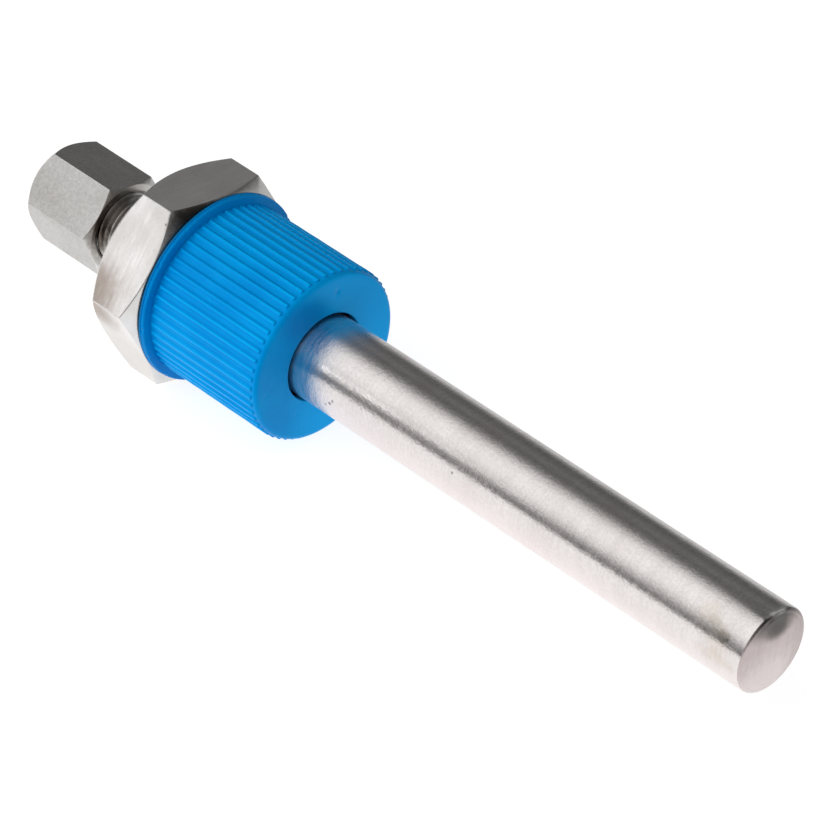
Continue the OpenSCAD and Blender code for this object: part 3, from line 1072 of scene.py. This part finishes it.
@dataclass
class ThreadCap:
    """The moulded cap over the process thread: open rim, groove, ribs, shoulder and end wall.

    Attributes:
        rim_beads: The rim's outline, as (x from the open end, r from the rim's, rounding).
        rib_start: How the ribs rise at the rim, as (x from their start, share of their height).
        rib_end: How they fall at the shoulder, as (x from their end, share of their height).
        nicks: Small dents in the rim, as (degrees, reach, depth).
        torn: Where the shoulder's edge is torn, as (first degree, last degree).
        scars: Marks in the end wall, as (degrees, r, reach, depth). The mould was filled at the
            first.
    """

    wall_r: float = 12.2
    rib_height: float = 0.30
    rib_foot: float = 0.78
    rib_crest: float = 0.30
    ribs: int = 56
    first_rib: float = 2.4
    rim_w: float = 1.0
    groove_w: float = 0.22
    shoulder: float = 0.7
    shoulder_r: float = 0.65
    end_t: float = 1.6
    bore_r: float = 10.7775
    hole_r: float = 6.4
    lead: float = 0.6
    rim_beads: tuple[Triple, ...] = (
        (0.0, 0.0, 0.25), (0.42, 0.0, 0.03), (0.52, -0.16, 0.03), (0.62, -0.02, 0.08))
    rib_start: Stops = ((0.04, 0.5), (0.14, 0.95))
    rib_end: Stops = ((-0.06, 0.9), (0.0, 0.25), (0.03, 0.0))
    lengths: int = 20
    face_rings: int = 14
    nicks: tuple[Triple, ...] = (
        (56, 0.55, 0.16), (74, 0.35, 0.10), (97, 0.5, 0.14), (118, 0.4, 0.1),
        (141, 0.6, 0.16), (31, 0.4, 0.08), (215, 0.5, 0.12), (300, 0.6, 0.14))
    torn: Stops = ((-44, -14), (146, 172))
    scars: tuple[tuple[float, float, float, float], ...] = (
        (-7.6, 9.65, 0.75, 0.16), (102, 10.3, 0.5, 0.07), (95, 9.2, 0.35, 0.07),
        (150, 8.4, 0.45, 0.07), (250, 9.6, 0.5, 0.07))

    def rib_points(self) -> list[Pair]:
        """Gives one pitch of the ribbed skin.

        Returns:
            Points (angle in degrees from the rib's middle, share of the rib's height).
        """
        degree = math.degrees(1 / self.wall_r)
        foot, crest = self.rib_foot / 2 * degree, self.rib_crest / 2 * degree
        pitch, low = 360 / self.ribs, foot * 1.08
        half = [(0.0, 1.0), (crest * 0.8, 0.97), (crest * 1.15, 0.82), (foot * 0.85, 0.16),
                (low, 0.0)]
        right = half + [(low + (pitch / 2 - low) * k / 2, 0.0) for k in (1, 2)]
        return right + [(pitch - angle, height) for angle, height in right[-2::-1]]

    def stations(self, low_x: float, high_x: float, rim_r: float) -> list[Triple]:
        """Lists the rings of the cap's skin, all round its section.

        Args:
            low_x: The open end.
            high_x: The closed end.
            rim_r: The rim's radius.

        Returns:
            Rings (x, r, share of the ribs' height), from the open end, over the outside, in.
        """
        rim_x = low_x + self.rim_w
        ribs_x, ribs_end = rim_x + self.groove_w, high_x - self.shoulder
        outside = softened([
            (low_x, self.bore_r + self.lead, 0.0),
            *((low_x + x, rim_r + r, rounding) for x, r, rounding in self.rim_beads),
            (rim_x, rim_r - 0.1, 0.3), (rim_x, self.wall_r, 0.12), (ribs_x, self.wall_r, 0.0),
        ], steps=5)
        full_x, full_length = ribs_x + 0.16, ribs_end - ribs_x - 0.3
        ribbed = [(ribs_x + x, share) for x, share in self.rib_start]
        ribbed += [(full_x + full_length * k / self.lengths, 1.0) for k in range(self.lengths + 1)]
        ribbed += [(ribs_end + x, share) for x, share in self.rib_end]
        face_r = self.wall_r - self.shoulder_r
        plain = arc(high_x - self.shoulder_r, face_r, self.shoulder_r, 0.0, QUARTER, steps=6)
        plain += [(high_x, face_r + (self.hole_r + 0.2 - face_r) * k / self.face_rings)
                  for k in range(1, self.face_rings)]
        plain += softened([
            (high_x, self.hole_r + 0.3, 0.0), (high_x, self.hole_r, 0.14),
            (high_x - self.end_t, self.hole_r, 0.1), (high_x - self.end_t, self.bore_r, 0.4),
            (low_x + self.lead, self.bore_r, 0.1), (low_x, self.bore_r + self.lead, 0.0)])[1:]
        return [*((x, r, 0.0) for x, r in outside),
                *((x, self.wall_r, share) for x, share in ribbed),
                *((x, r, 0.0) for x, r in plain)]

    def build(self) -> Object:
        """Spins one rib's pitch into a ring and draws that ring round the cap's section.

        Returns:
            The cap, on its CAD body.
        """
        low, high = box_mm("thread_cap")
        bm = bmesh.new()
        height_layer = bm.verts.layers.float.new("rib_share")
        crest_layer = bm.verts.layers.float.new("crest")
        verts = []
        for degrees, share in self.rib_points():
            vert = bm.verts.new(on_round(0.0, 1.0, self.first_rib + degrees))
            vert[height_layer] = share
            verts.append(vert)
        edges = [bm.edges.new(pair) for pair in zip(verts, verts[1:])]
        bmesh.ops.spin(
            bm, geom=verts + edges, cent=(0, 0, 0), axis=(1, 0, 0), dvec=(0, 0, 0), angle=TURN,
            steps=self.ribs, use_duplicate=True, use_merge=False,
        )
        bmesh.ops.remove_doubles(bm, verts=bm.verts, dist=MERGE / 2)
        loop, ring_verts = bm.edges[:], bm.verts[:]
        for index, (x, r, ribbed) in enumerate(self.stations(low.x, high.x, high.z)):
            if index:
                grown = bmesh.ops.extrude_edge_only(bm, edges=loop)["geom"]
                loop = [item for item in grown if isinstance(item, BMEdge)]
                ring_verts = [item for item in grown if isinstance(item, BMVert)]
            for vert in ring_verts:
                vert.co = outward(vert.co) * (r + self.rib_height * ribbed * vert[height_layer])
                vert.co.x = x
                vert[crest_layer] = vert[height_layer] * ribbed
        bmesh.ops.remove_doubles(bm, verts=bm.verts, dist=MERGE)
        self.handle(bm, low.x, high.x, high.z)
        piece = finish_mesh(bm, "cap", crease=50)
        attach(piece, "cap")
        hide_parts("thread_cap")
        return piece

    def handle(self, bm: BMesh, low_x: float, high_x: float, rim_r: float) -> None:
        """Leaves what moulding and handling leave: a soft wave, nicks, a torn edge and scars.

        Args:
            bm: The cap's mesh.
            low_x: The open end.
            high_x: The closed end.
            rim_r: The rim's radius.
        """
        rim_x = low_x + self.rim_w
        for vert in bm.verts:
            r = off_axis(vert)
            if r > self.wall_r - 0.01 and vert.co.x > rim_x:
                wave = noise.noise(vert.co * 0.35) * 0.03 + noise.noise(vert.co * 1.7) * 0.012
                pinch(vert, 1 - (0.03 + wave) / r)
        for degrees, reach, depth in self.nicks:
            centre = on_round(rim_x - 0.25, rim_r - 0.1, degrees)
            dent(bm, centre, reach, outward(centre) * -depth)
        for first, last in self.torn:
            for step in range((last - first) * 2):
                degrees = first + step / 2
                height = 0.16 * max(noise.noise(Vector((degrees * 1.3, 4.0, 9.0))), 0.0)
                centre = on_round(high_x - 0.2, self.wall_r - 0.22, degrees)
                dent(bm, centre, 0.22, outward(centre) * height)
        for degrees, r, reach, depth in self.scars:
            dent(bm, on_round(high_x, r, degrees), reach, Vector((-depth, 0.0, 0.0)))

    def dress(self, piece: Object) -> None:
        """Gives the cap its plastic."""
        paint(piece, CapPlastic())


@dataclass
class CuttingRing:
    """The ring inside the nut. Its CAD shape is right, so it only gets its finish."""

    def dress(self) -> None:
        """Gives the ring bright turned steel."""
        steel = Steel("ring_turned_steel", (0.72, 0.71, 0.68), (0.6, 0.57, 0.53), 0.22,
                      Grain.AROUND, per_mm=5.0, depth=0.004, contrast=0.12)
        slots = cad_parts["cutting_ring"].material_slots
        slots[0].material = steel.make()
        log.info("cutting_ring: CAD shape kept, finish changed")


# --- Camera and studio ---


@dataclass
class StudioCamera:
    """A long lens that looks down on the thermowell from the front of its tip's side.

    It stands at a distance from the point it aims at, in metres. From straight in front it is
    turned to the tip's side, raised above level and rolled to the left, in degrees.
    """

    aim: Triple = (0.03808, 0.00009, 0.00010)
    distance: float = 0.61118
    turn: float = 41.838
    rise: float = 34.070
    roll: float = 6.663
    lens: float = 207.7
    sensor: float = 36.0

    def build(self) -> None:
        """Makes the camera and hands it to the scene."""
        data = bpy.data.cameras.new("studio_camera")
        data.lens, data.sensor_width = self.lens, self.sensor
        data.clip_start, data.clip_end = 0.01, 20.0
        camera = new_object("studio_camera", data)
        turn, rise, roll = (math.radians(angle) for angle in (self.turn, self.rise, self.roll))
        back = Vector((
            math.sin(turn) * math.cos(rise), -math.cos(turn) * math.cos(rise), math.sin(rise)))
        level = Vector((0.0, 0.0, 1.0)).cross(back).normalized()
        right = level * math.cos(roll) + back.cross(level) * math.sin(roll)
        camera.matrix_world = Matrix.Translation(Vector(self.aim) + back * self.distance) @ Matrix(
            (right, back.cross(right), back)).transposed().to_4x4()
        bpy.context.scene.camera = camera


@dataclass
class Studio:
    """A white sheet under the thermowell and a broad soft light over it, in a dim room.

    Lengths are in metres and angles in degrees. The sheet glows by sheet_glow in front and at the
    back, changes over between the depths of sheet_fade, and is sheet_seen to the camera. The
    room's light goes by the height and by the depth of a direction, each from -1 to 1, and only
    tip_side of it is left beyond the tip. The share fill of it reaches dull surfaces. Keys are
    soft lights on these alone, as (direction, level), which end where a cosine is key_edge.
    """

    sheet_front: float = -0.105
    sheet_size: Pair = (1.6, 1.2)
    sheet_glow: Pair = (0.84, 0.45)
    sheet_fade: Pair = (0.02, 0.05)
    sheet_seen: float = 0.86
    paper: float = 0.3
    by_height: Stops = ((-0.3, 0.25), (-0.1, 0.13), (0.0, 0.2), (0.145, 0.42), (0.34, 0.78),
                        (0.49, 1.04), (0.7, 1.08), (1.0, 1.05))
    by_depth: Stops = ((-0.49, 1.0), (-0.26, 0.93), (-0.06, 0.62), (0.17, 0.19), (0.39, 0.11),
                       (0.5, 0.16), (0.8, 0.12))
    far_glow: float = 0.42
    far_height: Pair = (-0.1, 0.42)
    far_depth: Pair = (0.35, 0.75)
    tip_side: float = 0.2
    tip_from: Pair = (0.55, 0.95)
    fill: float = 0.27
    keys: tuple[tuple[Triple, float], ...] = (
        ((-0.40, -0.80, 0.44), 1.95), ((0.80, 0.55, 0.20), 0.9))
    key_edge: float = 0.45
    lamp_aim: Triple = (-0.02, -0.012, 0.004)
    lamp_from: Triple = (-0.56, -0.79, 0.26)
    lamp_away: float = 0.36
    lamp_size: float = 0.09
    lamp_spread: float = 16.0
    lamp_power: float = 0.0004

    @staticmethod
    def ramp(graph: Graph, value: Socket, stops: Stops) -> Socket:
        """Reads a level off a smooth row of stops.

        Args:
            graph: The world's nodes.
            value: A value from -1 to 1.
            stops: (value, level) pairs, in order.

        Returns:
            The level's socket.
        """
        node = graph.add("ValToRGB", {0: graph.math("MULTIPLY_ADD", value, 0.5, 0.5)})
        node.color_ramp.interpolation = "EASE"
        elements = node.color_ramp.elements
        while len(elements) < len(stops):
            elements.new(1.0)
        for element, (at, level) in zip(elements, stops):
            element.position = 0.5 + at / 2
            element.color = (level, level, level, 1.0)
        return node.outputs[0]

    def build_sheet(self) -> None:
        """Lays the pale sheet at the height of the thermowell's lowest point."""
        low, high = CAD_BOX
        length, depth = self.sheet_size
        bm = bmesh.new()
        bmesh.ops.create_grid(bm, x_segments=2, y_segments=2, size=0.5)
        bmesh.ops.scale(bm, vec=(length, depth, 1.0), verts=bm.verts)
        middle = Vector(((low.x + high.x) / 2, self.sheet_front + depth / 2, low.z))
        bmesh.ops.translate(bm, vec=middle, verts=bm.verts)
        sheet = mesh_object(bm, "sheet")
        sheet.data.materials.append(self.sheet_material())

    def sheet_material(self) -> Material:
        """Makes the sheet white to the camera, with room for a shadow, and glowing with painted
        light:
        bright in front and dimmer towards the back, as a floor that falls into shade.

        Returns:
            The sheet's material.
        """
        material, graph, place = new_material("white_sheet")
        # Painted light: brighter in front, dimmer towards the back
        near = graph.fit(graph.axes(place)[1], *self.sheet_fade, *self.sheet_glow)
        plain, _ = graph.rays()
        level = graph.math("MAXIMUM", near, graph.times(plain, self.sheet_seen))
        glow = graph.add("Emission", {0: (1.0, 1.0, 1.0, 1.0), 1: level})
        paper = graph.add("BsdfDiffuse", {0: (self.paper, self.paper, self.paper, 1.0)})
        both = graph.add("AddShader", {0: glow.outputs[0], 1: paper.outputs[0]})
        graph.add("OutputMaterial", {0: both.outputs[0]})
        return material

    def build_world(self) -> None:
        """Makes the room: white behind the thermowell, and bands of light round it."""
        world = bpy.data.worlds.new("studio_room")
        bpy.context.scene.world = world
        world.use_nodes = True
        graph = Graph(world.node_tree)
        sky = graph.add("TexCoord").outputs["Generated"]
        side, depth, height = graph.axes(sky)
        light = graph.times(self.ramp(graph, height, self.by_height),
                            self.ramp(graph, depth, self.by_depth))
        light = graph.times(light, graph.fit(side, *self.tip_from, 1.0, self.tip_side))
        far = graph.times(graph.fit(height, *self.far_height, self.far_glow, 0.0),
                          graph.fit(depth, *self.far_depth, 0.0, 1.0))
        level = graph.math("MAXIMUM", light, far)
        plain, diffuse = graph.rays()
        dull = graph.times(level, self.fill)
        for direction, strength in self.keys:
            facing = graph.vector("DOT_PRODUCT", sky, Vector(direction).normalized())
            dull = graph.math("ADD", dull, graph.fit(facing, self.key_edge, 1.0, 0.0, strength))
        lit = graph.add("Mix", {0: diffuse, 2: level, 3: dull}, data_type="FLOAT")
        seen = graph.add("Mix", {0: plain, 2: lit.outputs[0], 3: 1.0}, data_type="FLOAT")
        room = graph.add("Background", {0: (1.0, 1.0, 1.0, 1.0), 1: seen.outputs[0]})
        graph.add("OutputWorld", {0: room.outputs[0]})

    def build_lamp(self) -> None:
        """Stands a narrow soft lamp in front on the left, for the two hexagons."""
        data = bpy.data.lights.new("side_lamp", "AREA")
        data.shape, data.size, data.energy = "DISK", self.lamp_size, self.lamp_power
        data.spread = math.radians(self.lamp_spread)
        lamp = new_object("side_lamp", data)
        back = Vector(self.lamp_from).normalized()
        lamp.matrix_world = Matrix.Translation(Vector(self.lamp_aim) + back * self.lamp_away) @ (
            back.to_track_quat("Z", "Y").to_matrix().to_4x4())

    def build(self) -> None:
        """Sets up the sheet, the room, the lamp and plain colour."""
        self.build_sheet()
        self.build_world()
        self.build_lamp()
        bpy.context.scene.view_settings.view_transform = "Standard"


# --- Putting it together ---


def main() -> None:
    """Builds the camera, the studio and every piece in order."""
    logging.basicConfig(level=logging.INFO, format="%(name)s: %(message)s")
    StudioCamera().build()
    Studio().build()
    for maker in (Stem(), WellBody(), CompressionNut(), RootWeld(), ThreadCap()):
        maker.dress(maker.build())
    CuttingRing().dress()


if __name__ == "__main__":
    main()
